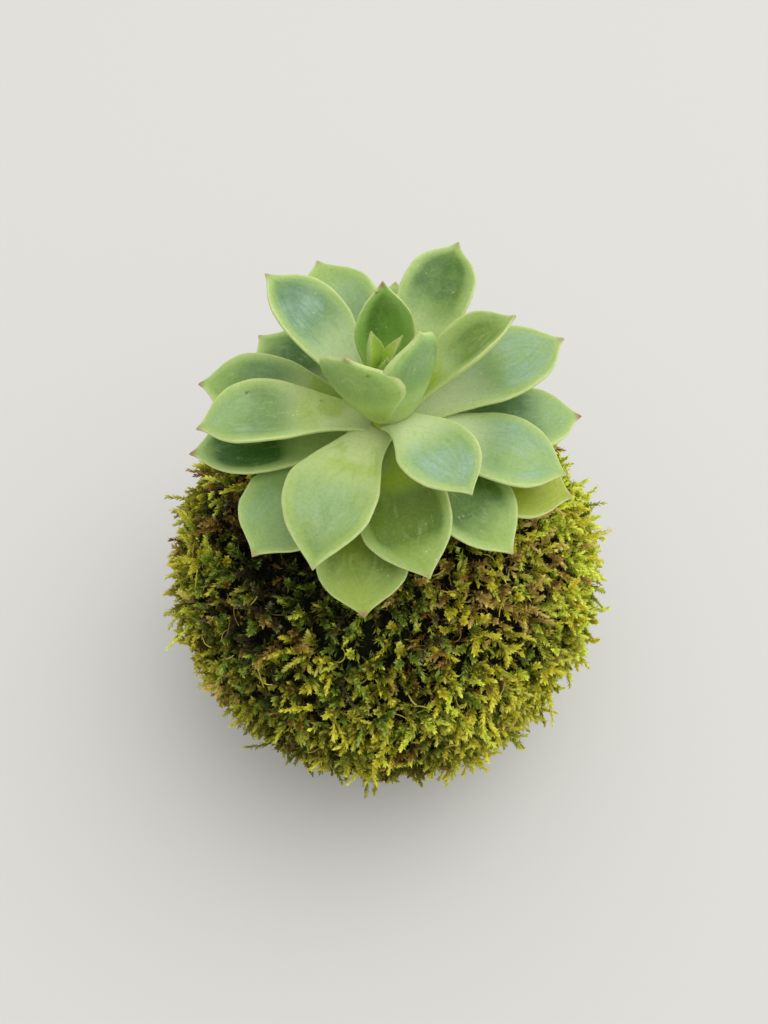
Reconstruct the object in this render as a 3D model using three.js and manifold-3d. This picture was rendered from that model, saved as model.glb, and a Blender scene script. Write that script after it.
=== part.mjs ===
// Kokedama moss ball plant: a soil ball wrapped in moss with a succulent rosette on a short stem.
// Millimetres, +Z up. The origin is the centre of the flat spot on which the ball rests.
import * as THREE from 'three';
import { mergeVertices } from 'three/addons/utils/BufferGeometryUtils.js';
import Module from 'manifold-3d';

const wasm = await Module();
wasm.setup();

// Driving dimensions
const CLEARANCE = 0.3;
const BALL_RADIUS = 60;
const BALL_HALF_HEIGHT = 55;
const BALL_CENTRE_Z = 52;
const MOSS_THICKNESS = 6.7;
const MOSS_LOFT = 3;
const TUFT_HEIGHT = 3.6;
const TUFT_SHARE = 0.45;
const LOWEST_TUFT = 0.7;
const TUFT_JITTER = 0.4;
const BARE_FOOT_LEVEL = -0.95;
const FULL_TUFT_LEVEL = -0.75;
const VALLEY_HEIGHT = 1.1;
const CLUMP_HEIGHT = 0.8;
const TUFT_DETAIL = 13;
const CORE_DETAIL = 5;
const MOSS_OPENING_RADIUS = 9;
const MOSS_OPENING_FLARE = 1.5;
const ABOVE_BALL = 6;
const SHOOT_COUNT = 100;
const SHOOT_LENGTH = 7.5;
const SHOOT_RADIUS = 1.3;
const SHOOT_FOOT_SINK = 1.6;
const SHOOT_BEND_AT = 0.62;
const SHOOT_BEND = 0.1;
const SHOOT_DROOP = 0.45;
const SHOOT_NARROWING = 0.85;
const LOWEST_SHOOT_LEVEL = -0.72;
const SHOOT_LEVEL_RANGE = 1.5;
const SHORTEST_SHOOT = 0.75;
const SHOOT_LENGTH_RANGE = 0.4;
const STEM_FOOT_Z = 86;
const STEM_FOOT_RADIUS = 2.6;
const STEM_RADIUS = 3.5;
const STEM_TOP_Z = 123.5;
const STEM_SIDES = 16;
const STEM_FOOT_TAPER = 8;
const STEM_CHAMFER = 1;
const ROOT_RADIUS = 3;
const EDGE_THICKNESS = 0.7;
const BODY_AT_ENDS = 0.72;
const BODY_SWELL = 0.28;
const UPPER_SHARE = 0.35;
const LOWER_SHARE = 0.65;
const TIP_THINNING_FROM = 1.02;
const TIP_THINNING_RUN = 0.25;
const CUP_GROWTH = 1.2;
const BUD_BASE_Z = 123.9;
const BUD_THICKNESS = 1.4;

// Half width of a leaf as a share of its greatest half width, from the base to the pointed tip:
// one outline with round shoulders, one that tapers from its middle
const ROUND_OUTLINE = [
  [0, 0.42], [0.12, 0.45], [0.25, 0.54], [0.40, 0.74], [0.54, 0.94], [0.66, 1.0],
  [0.77, 0.94], [0.865, 0.68], [0.92, 0.37], [0.96, 0.15], [1.0, 0],
];
const TAPERED_OUTLINE = [
  [0, 0.42], [0.12, 0.47], [0.25, 0.60], [0.40, 0.83], [0.54, 1.0], [0.66, 0.95],
  [0.77, 0.74], [0.865, 0.44], [0.92, 0.25], [0.96, 0.12], [1.0, 0],
];
// Places along and across a leaf at which its faces are split
const LEAF_ROWS = [0, 0.12, 0.25, 0.38, 0.5, 0.6, 0.7, 0.8, 0.88, 0.935, 0.97];
const LEAF_COLUMNS = [-1, -0.55, 0, 0.55, 1];

// Each leaf: heading about Z, height at the stem, pitch at base and at tip, length, width,
// thickness, cupping, roll about its heading, turn in its own plane (degrees and mm), then its
// taper (0 round shoulders, 1 tapered) and how much wider its left half is
const LEAVES = {
  leaf_01: [48, 112.5, 4, -4, 29, 16, 2.8, 1.5, 0, 0, 0.3, 0],
  leaf_02: [112, 112.5, 4, -4, 30, 16, 2.8, 1.5, 0, 0, 0.3, 0],
  leaf_03: [254, 111.8, 2, -31, 37, 20.4, 2.8, 1.5, 0, 19, 0.1, -0.02],
  leaf_04: [-19, 111, 2, -12, 40, 21, 2.8, 1.5, 0, 6, 0.3, 0],
  leaf_05: [214.5, 113.6, -2, -6, 36.1, 20.8, 2.8, 1.5, 0, 24.5, -0.1, -0.03],
  leaf_06: [138, 114.4, 10, -2, 38, 17, 2.8, 2, 0, 0, 0.3, 0],
  leaf_07: [186.7, 114.4, 6, -6, 40.4, 17.5, 2.8, 2, 0, 0, 0.4, 0],
  leaf_08: [8.2, 115, 7, -9, 41.3, 16.8, 2.8, 1.5, 0, -2.5, 0, -0.12],
  leaf_09: [-46.5, 115.2, 8, -24, 35.8, 18.4, 2.8, 1.5, 0, 0, 0.5, 0.08],
  leaf_10: [87, 115.6, 12, 4, 38.5, 17, 2.8, 2, 0, 0, 0.3, 0],
  leaf_11: [-80, 116.6, 10, -29, 33, 19.6, 2.8, 1.5, 14, 5, 0.75, -0.06],
  leaf_12: [164.5, 117.5, 21, -7, 39.4, 17, 2.8, 2, 0, 9.5, 0, 0],
  leaf_13: [23.5, 118, 20, 6, 40.4, 18.4, 2.8, 2, 0, 0, 0.3, -0.05],
  leaf_14: [-14.6, 118.4, 10, -18, 37.2, 18, 2.8, 1.5, 0, -5, 0.33, -0.06],
  leaf_15: [115, 119.5, 34, 14, 36.8, 18, 2.8, 2.5, 0, 0, 0.15, 0],
  leaf_16: [185, 119.5, 25, -10, 37.6, 16.3, 2.8, 3, 0, 7, 0.1, 0.04],
  leaf_17: [242, 119.8, 18.5, -20.5, 35.9, 19.3, 2.8, 1.5, 0, 13, 0.8, -0.14],
  leaf_18: [67, 121.2, 33, 20, 38.8, 15.8, 2.8, 2.5, 0, -3, 0, -0.05],
  leaf_19: [-52, 122.6, 40, -22, 27, 16.4, 2.8, 1.5, 0, -6, 0.45, -0.13],
  leaf_20: [20, 121.6, 41, 27, 31, 12.4, 2.8, 4, -8, 0, 0.2, -0.1],
  leaf_21: [140.5, 122.2, 50, 18, 35.8, 15, 2.8, 2.5, 0, 0, 0.35, 0],
  leaf_22: [-42, 122.6, 64, 106, 26.6, 16, 2.4, 3, -6, 0, 0.2, 0],
  leaf_23: [240, 123.7, 60, 96, 21.9, 19.5, 2.4, 3, 12, 0, 0.1, 0],
  leaf_24: [95, 122.4, 64, 89, 28.5, 12, 2.4, 3.4, 0, 0, 0.2, 0],
};
const BUD_LEAVES = [
  [152, BUD_BASE_Z, 72, 94, 21.5, 5.6, BUD_THICKNESS, 1.6, 0, 0, 0.8, 0],
  [12, BUD_BASE_Z, 100, 68, 21.5, 4.8, BUD_THICKNESS, 1.4, 0, 0, 0.8, 0],
  [272, BUD_BASE_Z, 82, 96, 17, 5, BUD_THICKNESS, 1.2, 0, 0, 0.8, 0],
  [210, BUD_BASE_Z, 82, 98, 13, 4.5, BUD_THICKNESS, 1.2, 0, 0, 0.8, 0],
  [335, BUD_BASE_Z, 84, 98, 12, 4, BUD_THICKNESS, 1.2, 0, 0, 0.8, 0],
];
const BUD_ROOT_RADIUS = 0.7;
const BUD_HEART = { radius: 2.4, halfHeight: 4, lift: 2, detail: 1 };
const BUD_ROOM = { width: 40, height: 60 };

const radians = THREE.MathUtils.degToRad;

function makeRandom(seed) {
  let state = seed;
  return () => {
    state = (state + 0x6d2b79f5) | 0;
    let mixed = Math.imul(state ^ (state >>> 15), 1 | state);
    mixed = (mixed + Math.imul(mixed ^ (mixed >>> 7), 61 | mixed)) ^ mixed;
    return ((mixed ^ (mixed >>> 14)) >>> 0) / 4294967296;
  };
}

function toSolid(geometry) {
  const bare = geometry.clone();
  bare.deleteAttribute('normal');
  bare.deleteAttribute('uv');
  const merged = mergeVertices(bare, 1e-4);
  const mesh = new wasm.Mesh({
    numProp: 3,
    vertProperties: new Float32Array(merged.attributes.position.array),
    triVerts: new Uint32Array(merged.index.array),
  });
  return new wasm.Manifold(mesh);
}

function toGeometry(solid) {
  const mesh = solid.getMesh();
  const geometry = new THREE.BufferGeometry();
  geometry.setAttribute('position', new THREE.BufferAttribute(Float32Array.from(mesh.vertProperties), 3));
  geometry.setIndex(new THREE.BufferAttribute(Uint32Array.from(mesh.triVerts), 1));
  geometry.computeVertexNormals();
  return geometry;
}

function largestPiece(solid) {
  const pieces = solid.decompose();
  return pieces.reduce((best, piece) => (piece.volume() > best.volume() ? piece : best));
}

function alongTable(table, s) {
  for (let i = 1; i < table.length; i += 1) {
    const [s0, w0] = table[i - 1];
    const [s1, w1] = table[i];
    if (s <= s1) {
      return w0 + ((w1 - w0) * (s - s0)) / (s1 - s0);
    }
  }
  return 0;
}

// A point of a leaf: s along it, t across it, side +1 on the upper and -1 on the lower face
function leafPoint(leaf, s, t, side, grow, rootRadius) {
  const [azimuth, rootZ, pitchBase, pitchTip, length, width] = leaf;
  const [thickness, cup, roll, turn, taper, skew] = leaf.slice(6);
  const pitch0 = radians(pitchBase);
  const bend = radians(pitchTip - pitchBase);
  const pitch = pitch0 + bend * s;
  const sway = radians(turn) * s;
  const along = (length * (Math.sin(pitch) - Math.sin(pitch0))) / bend;
  const rise = (-length * (Math.cos(pitch) - Math.cos(pitch0))) / bend;
  const drift = (length * sway * s) / 2;
  const share = (1 - taper) * alongTable(ROUND_OUTLINE, s) + taper * alongTable(TAPERED_OUTLINE, s);
  const half = share * (width / 2) * (1 + skew * t) + grow;
  const thinning = Math.sqrt(Math.min(1, (TIP_THINNING_FROM - s) / TIP_THINNING_RUN));
  const body = thickness * (BODY_AT_ENDS + BODY_SWELL * Math.sin(Math.PI * s)) * thinning;
  const full = (side > 0 ? UPPER_SHARE : LOWER_SHARE) * body;
  const lift = cup * Math.pow(share, CUP_GROWTH) * t * t;
  const edge = EDGE_THICKNESS / 2;
  const offset = side * (edge + (full - edge) * Math.sqrt(1 - t * t) + grow);
  const across = half * t;
  const normal = lift + offset;
  const x = along - Math.cos(pitch) * Math.sin(sway) * across - Math.sin(pitch) * normal;
  const y0 = drift + Math.cos(sway) * across;
  const z0 = rise - Math.sin(pitch) * Math.sin(sway) * across + Math.cos(pitch) * normal;
  const r = radians(roll);
  const y = y0 * Math.cos(r) - z0 * Math.sin(r);
  const z = y0 * Math.sin(r) + z0 * Math.cos(r);
  const a = radians(azimuth);
  const out = x + rootRadius;
  return [out * Math.cos(a) - y * Math.sin(a), out * Math.sin(a) + y * Math.cos(a), z + rootZ];
}

// A closed leaf blade; grow makes it larger all round, for cutting room into its neighbours
function leafSolid(leaf, grow = 0, rootRadius = ROOT_RADIUS) {
  const points = [];
  const faces = [];
  const across = LEAF_COLUMNS.length;
  const ring = across * 2;
  for (const s of LEAF_ROWS) {
    for (const t of LEAF_COLUMNS) {
      points.push(leafPoint(leaf, s, t, 1, grow, rootRadius));
    }
    for (const t of [...LEAF_COLUMNS].reverse()) {
      points.push(leafPoint(leaf, s, t, -1, grow, rootRadius));
    }
  }
  for (let row = 0; row < LEAF_ROWS.length - 1; row += 1) {
    for (let k = 0; k < ring; k += 1) {
      const a = row * ring + k;
      const b = row * ring + ((k + 1) % ring);
      const c = a + ring;
      const d = b + ring;
      const upper = k < across;
      if (upper) {
        faces.push(a, c, b, b, c, d);
      } else {
        faces.push(a, d, b, a, c, d);
      }
    }
  }
  const last = (LEAF_ROWS.length - 1) * ring;
  const tip = points.length;
  points.push(leafPoint(leaf, 1 + grow / leaf[4], 0, 1, 0, rootRadius));
  for (let k = 0; k < ring; k += 1) {
    faces.push(last + k, tip, last + ((k + 1) % ring));
  }
  for (let k = 0; k < across - 1; k += 1) {
    const a = k;
    const b = k + 1;
    const c = ring - 1 - k;
    const d = ring - 2 - k;
    faces.push(a, b, c, b, d, c);
  }
  const geometry = new THREE.BufferGeometry();
  geometry.setAttribute('position', new THREE.Float32BufferAttribute(points.flat(), 3));
  geometry.setIndex(faces);
  return toSolid(geometry);
}

// Surface of revolution about Z from [radius, height] pairs
function lathe(profile, sides) {
  const points = profile.map(([radius, height]) => new THREE.Vector2(radius, height));
  const geometry = new THREE.LatheGeometry(points, sides);
  geometry.rotateX(Math.PI / 2);
  return toSolid(geometry);
}

function stemSolid(grow) {
  return lathe([
    [0, STEM_FOOT_Z - grow],
    [STEM_FOOT_RADIUS + grow, STEM_FOOT_Z - grow],
    [STEM_RADIUS + grow, STEM_FOOT_Z + STEM_FOOT_TAPER],
    [STEM_RADIUS + grow, STEM_TOP_Z - STEM_CHAMFER],
    [STEM_RADIUS - STEM_CHAMFER + grow, STEM_TOP_Z + grow],
    [0, STEM_TOP_Z + grow],
  ], STEM_SIDES);
}

function ellipsoid(detail, radius, halfHeight, centreZ) {
  const geometry = new THREE.IcosahedronGeometry(1, detail);
  geometry.scale(radius, radius, halfHeight);
  geometry.translate(0, 0, centreZ);
  return toSolid(geometry);
}

function block(width, height, bottomZ) {
  const geometry = new THREE.BoxGeometry(width, width, height);
  geometry.translate(0, 0, bottomZ + height / 2);
  return toSolid(geometry);
}

// Slow swelling of the moss in clumps, from -1 to 1 over the ball
function clump(d) {
  const broad = Math.sin(5.1 * d.x + 2.3 * d.z + 0.8) * Math.sin(4.7 * d.y - 3.1 * d.z + 0.3);
  const fine = Math.sin(11.3 * d.x - 6.1 * d.y + 1.9) * Math.sin(9.7 * d.z + 7.9 * d.y + 0.5);
  return 0.55 * broad + 0.45 * fine;
}

// The moss ball with its tufts: every vertex is one tuft, pushed out by its own height
function tuftedBall() {
  const geometry = new THREE.IcosahedronGeometry(1, TUFT_DETAIL);
  geometry.deleteAttribute('normal');
  geometry.deleteAttribute('uv');
  const ball = mergeVertices(geometry, 1e-4);
  const random = makeRandom(7);
  const position = ball.attributes.position;
  const direction = new THREE.Vector3();
  const jitter = TUFT_JITTER / TUFT_DETAIL;
  for (let i = 0; i < position.count; i += 1) {
    direction.fromBufferAttribute(position, i);
    direction.x += jitter * (random() - 0.5);
    direction.y += jitter * (random() - 0.5);
    direction.z += jitter * (random() - 0.5);
    direction.normalize();
    const standing = random() < TUFT_SHARE;
    const share = random();
    const standingHeight = TUFT_HEIGHT * (LOWEST_TUFT + (1 - LOWEST_TUFT) * share);
    const tuft = standing ? standingHeight : VALLEY_HEIGHT * share;
    const loose = THREE.MathUtils.smoothstep(direction.z, BARE_FOOT_LEVEL, FULL_TUFT_LEVEL);
    const relief = loose * (tuft + CLUMP_HEIGHT * clump(direction) - MOSS_LOFT);
    const scale = 1 + relief / BALL_RADIUS;
    position.setXYZ(
      i,
      direction.x * BALL_RADIUS * scale,
      direction.y * BALL_RADIUS * scale,
      direction.z * BALL_HALF_HEIGHT * scale + BALL_CENTRE_Z,
    );
  }
  return toSolid(ball);
}

// One moss shoot standing out of the cover: three sided, bent, with its foot sunk in the moss
function shootSolid(direction, lean, length) {
  const outward = direction.clone().normalize();
  const aside = new THREE.Vector3().crossVectors(outward, lean).normalize();
  const third = new THREE.Vector3().crossVectors(outward, aside);
  const foot = new THREE.Vector3(
    direction.x * (BALL_RADIUS - MOSS_LOFT),
    direction.y * (BALL_RADIUS - MOSS_LOFT),
    direction.z * (BALL_HALF_HEIGHT - MOSS_LOFT) + BALL_CENTRE_Z,
  ).addScaledVector(outward, -SHOOT_FOOT_SINK);
  const middle = foot.clone().addScaledVector(outward, SHOOT_BEND_AT * length);
  middle.addScaledVector(lean, SHOOT_BEND * length);
  const tip = foot.clone().addScaledVector(outward, length);
  tip.addScaledVector(lean, SHOOT_DROOP * length);
  const points = [];
  for (const [centre, radius] of [[foot, SHOOT_RADIUS], [middle, SHOOT_NARROWING * SHOOT_RADIUS]]) {
    for (let k = 0; k < 3; k += 1) {
      const angle = (2 * Math.PI * k) / 3;
      const corner = centre.clone();
      corner.addScaledVector(aside, radius * Math.cos(angle));
      corner.addScaledVector(third, radius * Math.sin(angle));
      points.push(corner.x, corner.y, corner.z);
    }
  }
  points.push(tip.x, tip.y, tip.z);
  const faces = [0, 2, 1];
  for (let k = 0; k < 3; k += 1) {
    const n = (k + 1) % 3;
    faces.push(k, n, k + 3, n, n + 3, k + 3, k + 3, n + 3, 6);
  }
  const geometry = new THREE.BufferGeometry();
  geometry.setAttribute('position', new THREE.Float32BufferAttribute(points, 3));
  geometry.setIndex(faces);
  return toSolid(geometry);
}

function mossShoots() {
  const random = makeRandom(21);
  const golden = Math.PI * (3 - Math.sqrt(5));
  const shoots = [];
  for (let k = 0; k < SHOOT_COUNT; k += 1) {
    const z = LOWEST_SHOOT_LEVEL + (SHOOT_LEVEL_RANGE * (k + random())) / SHOOT_COUNT;
    const around = golden * k + 0.5 * random();
    const level = Math.sqrt(1 - z * z);
    const direction = new THREE.Vector3(level * Math.cos(around), level * Math.sin(around), z);
    const lean = new THREE.Vector3(random() - 0.5, random() - 0.5, random() - 0.4).normalize();
    const length = SHOOT_LENGTH * (SHORTEST_SHOOT + SHOOT_LENGTH_RANGE * random());
    shoots.push(shootSolid(direction, lean, length));
  }
  return wasm.Manifold.union(shoots);
}

function mossCover() {
  const inner = ellipsoid(
    CORE_DETAIL,
    BALL_RADIUS - MOSS_THICKNESS,
    BALL_HALF_HEIGHT - MOSS_THICKNESS,
    BALL_CENTRE_Z,
  );
  const opening = lathe([
    [0, BALL_CENTRE_Z],
    [MOSS_OPENING_RADIUS, BALL_CENTRE_Z],
    [MOSS_OPENING_RADIUS + MOSS_OPENING_FLARE, BALL_CENTRE_Z + BALL_HALF_HEIGHT + ABOVE_BALL],
    [0, BALL_CENTRE_Z + BALL_HALF_HEIGHT + ABOVE_BALL],
  ], STEM_SIDES);
  const shaggy = tuftedBall().add(mossShoots());
  const resting = shaggy.intersect(block(3 * BALL_RADIUS, 3 * BALL_RADIUS, 0));
  return largestPiece(resting.subtract(inner).subtract(opening));
}

function soilCore() {
  const inset = MOSS_THICKNESS + CLEARANCE;
  const ball = ellipsoid(CORE_DETAIL, BALL_RADIUS - inset, BALL_HALF_HEIGHT - inset, BALL_CENTRE_Z);
  return ball.subtract(stemSolid(CLEARANCE));
}

function budSolid() {
  const leaflets = BUD_LEAVES.map((leaf) => leafSolid(leaf, 0, BUD_ROOT_RADIUS));
  const heartZ = BUD_BASE_Z + BUD_HEART.lift;
  const heart = ellipsoid(BUD_HEART.detail, BUD_HEART.radius, BUD_HEART.halfHeight, heartZ);
  const all = wasm.Manifold.union([heart, ...leaflets]);
  return all.intersect(block(BUD_ROOM.width, BUD_ROOM.height, BUD_BASE_Z));
}

const group = new THREE.Group();
group.name = 'kokedama_moss_ball_plant';

function addPiece(name, solid, color, roughness) {
  const material = new THREE.MeshStandardMaterial({ color, roughness, metalness: 0 });
  material.name = `${name}_surface`;
  const mesh = new THREE.Mesh(toGeometry(solid), material);
  mesh.name = name;
  group.add(mesh);
}

// Leaves from the heart outward: each one is cut clear of every leaf that lies over it
function addRosette() {
  const heartRoom = stemSolid(CLEARANCE);
  const bud = budSolid();
  const placed = [];
  const finished = {};
  let budPiece = bud;
  for (const name of Object.keys(LEAVES).reverse()) {
    let solid = leafSolid(LEAVES[name]).subtract(heartRoom);
    for (const other of placed) {
      if (solid.intersect(other).volume() > 0) {
        solid = solid.subtract(other);
      }
    }
    solid = largestPiece(solid);
    finished[name] = solid;
    placed.push(leafSolid(LEAVES[name], CLEARANCE));
    budPiece = budPiece.subtract(placed[placed.length - 1]);
  }
  addPiece('bud', largestPiece(budPiece), 0xa3bf62, 0.5);
  for (const name of Object.keys(LEAVES)) {
    const inner = ['leaf_24', 'leaf_23', 'leaf_22'].includes(name);
    const yellow = name === 'leaf_04';
    const color = yellow ? 0xb9bc4e : inner ? 0x96b56a : 0x93b074;
    addPiece(name, finished[name], color, 0.5);
  }
}

addPiece('soil_core', soilCore(), 0x3a2a1c, 0.95);
addPiece('moss_cover', mossCover(), 0x7d8a2e, 0.95);
addPiece('stem', stemSolid(0), 0x8f9a5e, 0.7);
addRosette();

export default group;
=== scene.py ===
import math

import bpy
import numpy as np
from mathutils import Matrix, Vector
from mathutils.bvhtree import BVHTree


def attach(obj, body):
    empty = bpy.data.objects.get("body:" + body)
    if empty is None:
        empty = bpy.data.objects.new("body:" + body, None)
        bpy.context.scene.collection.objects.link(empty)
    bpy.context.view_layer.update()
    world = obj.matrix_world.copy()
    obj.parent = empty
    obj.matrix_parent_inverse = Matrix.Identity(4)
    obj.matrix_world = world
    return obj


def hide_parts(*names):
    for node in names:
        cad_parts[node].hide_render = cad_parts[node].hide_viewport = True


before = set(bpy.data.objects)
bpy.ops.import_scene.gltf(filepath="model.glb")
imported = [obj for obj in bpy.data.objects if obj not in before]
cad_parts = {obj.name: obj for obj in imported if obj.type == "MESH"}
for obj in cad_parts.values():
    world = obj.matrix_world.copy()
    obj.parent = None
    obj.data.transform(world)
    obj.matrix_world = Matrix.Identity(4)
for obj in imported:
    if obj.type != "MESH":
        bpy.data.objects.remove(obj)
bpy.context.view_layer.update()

MM = 0.001

# Camera and lights

CAMERA_PLACE = (-0.0006, -0.1014, 0.2515)
CAMERA_DOWN_DEG = 59.2
CAMERA_LENS_MM = 27.0
KEY_PLACE = (1.7, 0.6, 4.0)
KEY_AIM = (0, 0, 0.05)
BRIGHT_SIDE = (0.45, 0.18, 0.87)


def add_camera():
    data = bpy.data.cameras.new("camera")
    data.lens = CAMERA_LENS_MM
    data.sensor_width = 36.0
    data.clip_start = 0.01
    data.clip_end = 20
    camera = add_object("camera", data)
    camera.location = CAMERA_PLACE
    camera.rotation_euler = (math.radians(90 - CAMERA_DOWN_DEG), 0, 0)
    bpy.context.scene.camera = camera


def add_key_light():
    """One broad soft light high behind on the right."""
    data = bpy.data.lights.new("key_light", "AREA")
    data.shape = "DISK"
    data.size = 4.2
    data.energy = 62.0
    data.color = (0.97, 0.985, 1.0)
    light = add_object("key_light", data)
    light.location = KEY_PLACE
    light.rotation_euler = (Vector(KEY_AIM) - Vector(KEY_PLACE)).to_track_quat("-Z", "Y").to_euler()


def add_room():
    """A pale room that is brighter on the right."""
    world = bpy.data.worlds.new("pale_room")
    world.use_nodes = True
    tree = world.node_tree
    background = tree.nodes["Background"]
    background.inputs["Color"].default_value = (1.0, 0.99, 0.965, 1)
    place = tree.nodes.new("ShaderNodeTexCoord")
    toward = tree.nodes.new("ShaderNodeVectorMath")
    toward.operation = "DOT_PRODUCT"
    toward.inputs[1].default_value = BRIGHT_SIDE
    strength = tree.nodes.new("ShaderNodeMapRange")
    strength.interpolation_type = "SMOOTHSTEP"
    fade = {"From Min": -0.4, "From Max": 1.0, "To Min": 0.38, "To Max": 1.03}
    for key, value in fade.items():
        strength.inputs[key].default_value = value
    tree.links.new(place.outputs["Generated"], toward.inputs[0])
    tree.links.new(toward.outputs["Value"], strength.inputs["Value"])
    tree.links.new(strength.outputs[0], background.inputs["Strength"])
    bpy.context.scene.world = world
    bpy.context.scene.view_settings.view_transform = "Standard"


# Small helpers


def linear(red, green, blue):
    """A display colour, 0 to 255 a channel, as the linear colour that a shader takes."""
    return tuple((c / 255) ** 2.2 for c in (red, green, blue)) + (1.0,)


def smoothstep(low, high, x):
    f = np.clip((x - low) / (high - low), 0, 1)
    return f * f * (3 - 2 * f)


def unit(v):
    return v / np.maximum(np.linalg.norm(v, axis=-1, keepdims=True), 1e-9)


def wobble(points, wavelength, seed, waves=7):
    """Smooth noise of about -1 to 1 over points, with features of the given wavelength."""
    rng = np.random.default_rng(seed)
    total = np.zeros(points.shape[:-1])
    for _ in range(waves):
        toward = unit(rng.normal(size=3))
        direction = toward * 2 * math.pi / (wavelength * rng.uniform(0.7, 1.4))
        total += np.sin(points @ direction + rng.uniform(0, 2 * math.pi))
    return total / math.sqrt(waves / 2) / 1.6


def layered_wobble(points, layers):
    """The sum of several wobbles, each given by its height, wavelength and seed."""
    return sum(height * wobble(points, wavelength, seed) for height, wavelength, seed in layers)


def monotone(xs, ys, x):
    """A smooth curve through the rows of a table that never swings past them."""
    xs, ys = np.asarray(xs, float), np.asarray(ys, float)
    step = np.diff(xs)
    slope = np.diff(ys) / step
    tangent = np.zeros(len(xs))
    same = slope[:-1] * slope[1:] > 0
    w1, w2 = 2 * step[1:] + step[:-1], step[1:] + 2 * step[:-1]
    inner = np.zeros(len(slope) - 1)
    inner[same] = (w1 + w2)[same] / (w1[same] / slope[:-1][same] + w2[same] / slope[1:][same])
    tangent[1:-1] = inner
    tangent[0], tangent[-1] = slope[0], slope[-1]
    k = np.clip(np.searchsorted(xs, x) - 1, 0, len(xs) - 2)
    h = step[k]
    f = (x - xs[k]) / h
    return (
        ys[k] * (1 + 2 * f) * (1 - f) ** 2
        + tangent[k] * h * f * (1 - f) ** 2
        + ys[k + 1] * f * f * (3 - 2 * f)
        + tangent[k + 1] * h * f * f * (f - 1)
    )


def combine(parts):
    """Several meshes as one: their points, their faces and what else is given for each of them."""
    points, faces, *others = zip(*parts)
    firsts = np.cumsum([0] + [len(own) for own in points])
    faces = [own + first for own, first in zip(faces, firsts)]
    return [np.concatenate(column) for column in (points, faces, *others)]


def repeat_faces(pattern, count, points_each):
    """The faces of many small meshes alike, from the faces of the first."""
    starts = np.arange(count) * points_each
    return (starts[:, None, None] + np.array(pattern)[None]).reshape(-1, 3)


def add_object(name, data):
    obj = bpy.data.objects.new(name, data)
    bpy.context.scene.collection.objects.link(obj)
    return obj


def mesh_object(name, points_mm, faces, uv=None, smooth=True):
    """A mesh from points in millimetres and faces of one length; uv is given for each face corner."""
    faces = np.asarray(faces, np.int32)
    mesh = bpy.data.meshes.new(name)
    mesh.vertices.add(len(points_mm))
    mesh.vertices.foreach_set("co", (np.asarray(points_mm) * MM).astype(np.float32).ravel())
    mesh.loops.add(faces.size)
    mesh.loops.foreach_set("vertex_index", faces.ravel())
    mesh.polygons.add(len(faces))
    mesh.polygons.foreach_set("loop_start", np.arange(0, faces.size, faces.shape[1], dtype=np.int32))
    mesh.update(calc_edges=True)
    if uv is not None:
        layer = mesh.uv_layers.new(name="OFBake")
        layer.data.foreach_set("uv", np.asarray(uv, np.float32).ravel())
    mesh.polygons.foreach_set("use_smooth", np.full(len(faces), smooth))
    mesh.update()
    return add_object(name, mesh)


def point_attribute(obj, name, values):
    """Puts three values on each vertex, for the materials to read."""
    attribute = obj.data.attributes.new(name, "FLOAT_VECTOR", "POINT")
    attribute.data.foreach_set("vector", np.asarray(values, np.float32).ravel())


def rings(along, sides):
    """A value for each row and the angle of each side, as two grids of rows by sides."""
    return np.meshgrid(along, np.arange(sides) * 2 * math.pi / sides, indexing="ij")


def grid_faces(rows, columns):
    """Two triangles for each cell of a grid of points whose rows close on themselves."""
    r, c = np.meshgrid(np.arange(rows - 1), np.arange(columns), indexing="ij")
    r, c = r.ravel(), c.ravel()
    n = (c + 1) % columns
    a, b = r * columns + c, r * columns + n
    d, e = (r + 1) * columns + c, (r + 1) * columns + n
    return np.concatenate([np.stack([a, b, e], 1), np.stack([a, e, d], 1)])


def closed_faces(rows, sides):
    """The same for a grid that a fan closes at both ends; the two end points follow those of the grid."""
    c = np.arange(sides)
    n = (c + 1) % sides
    last = (rows - 1) * sides
    first_fan = np.stack([n, c, np.full(sides, rows * sides)], 1)
    last_fan = np.stack([last + c, last + n, np.full(sides, rows * sides + 1)], 1)
    return np.concatenate([grid_faces(rows, sides), first_fan, last_fan])


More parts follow.
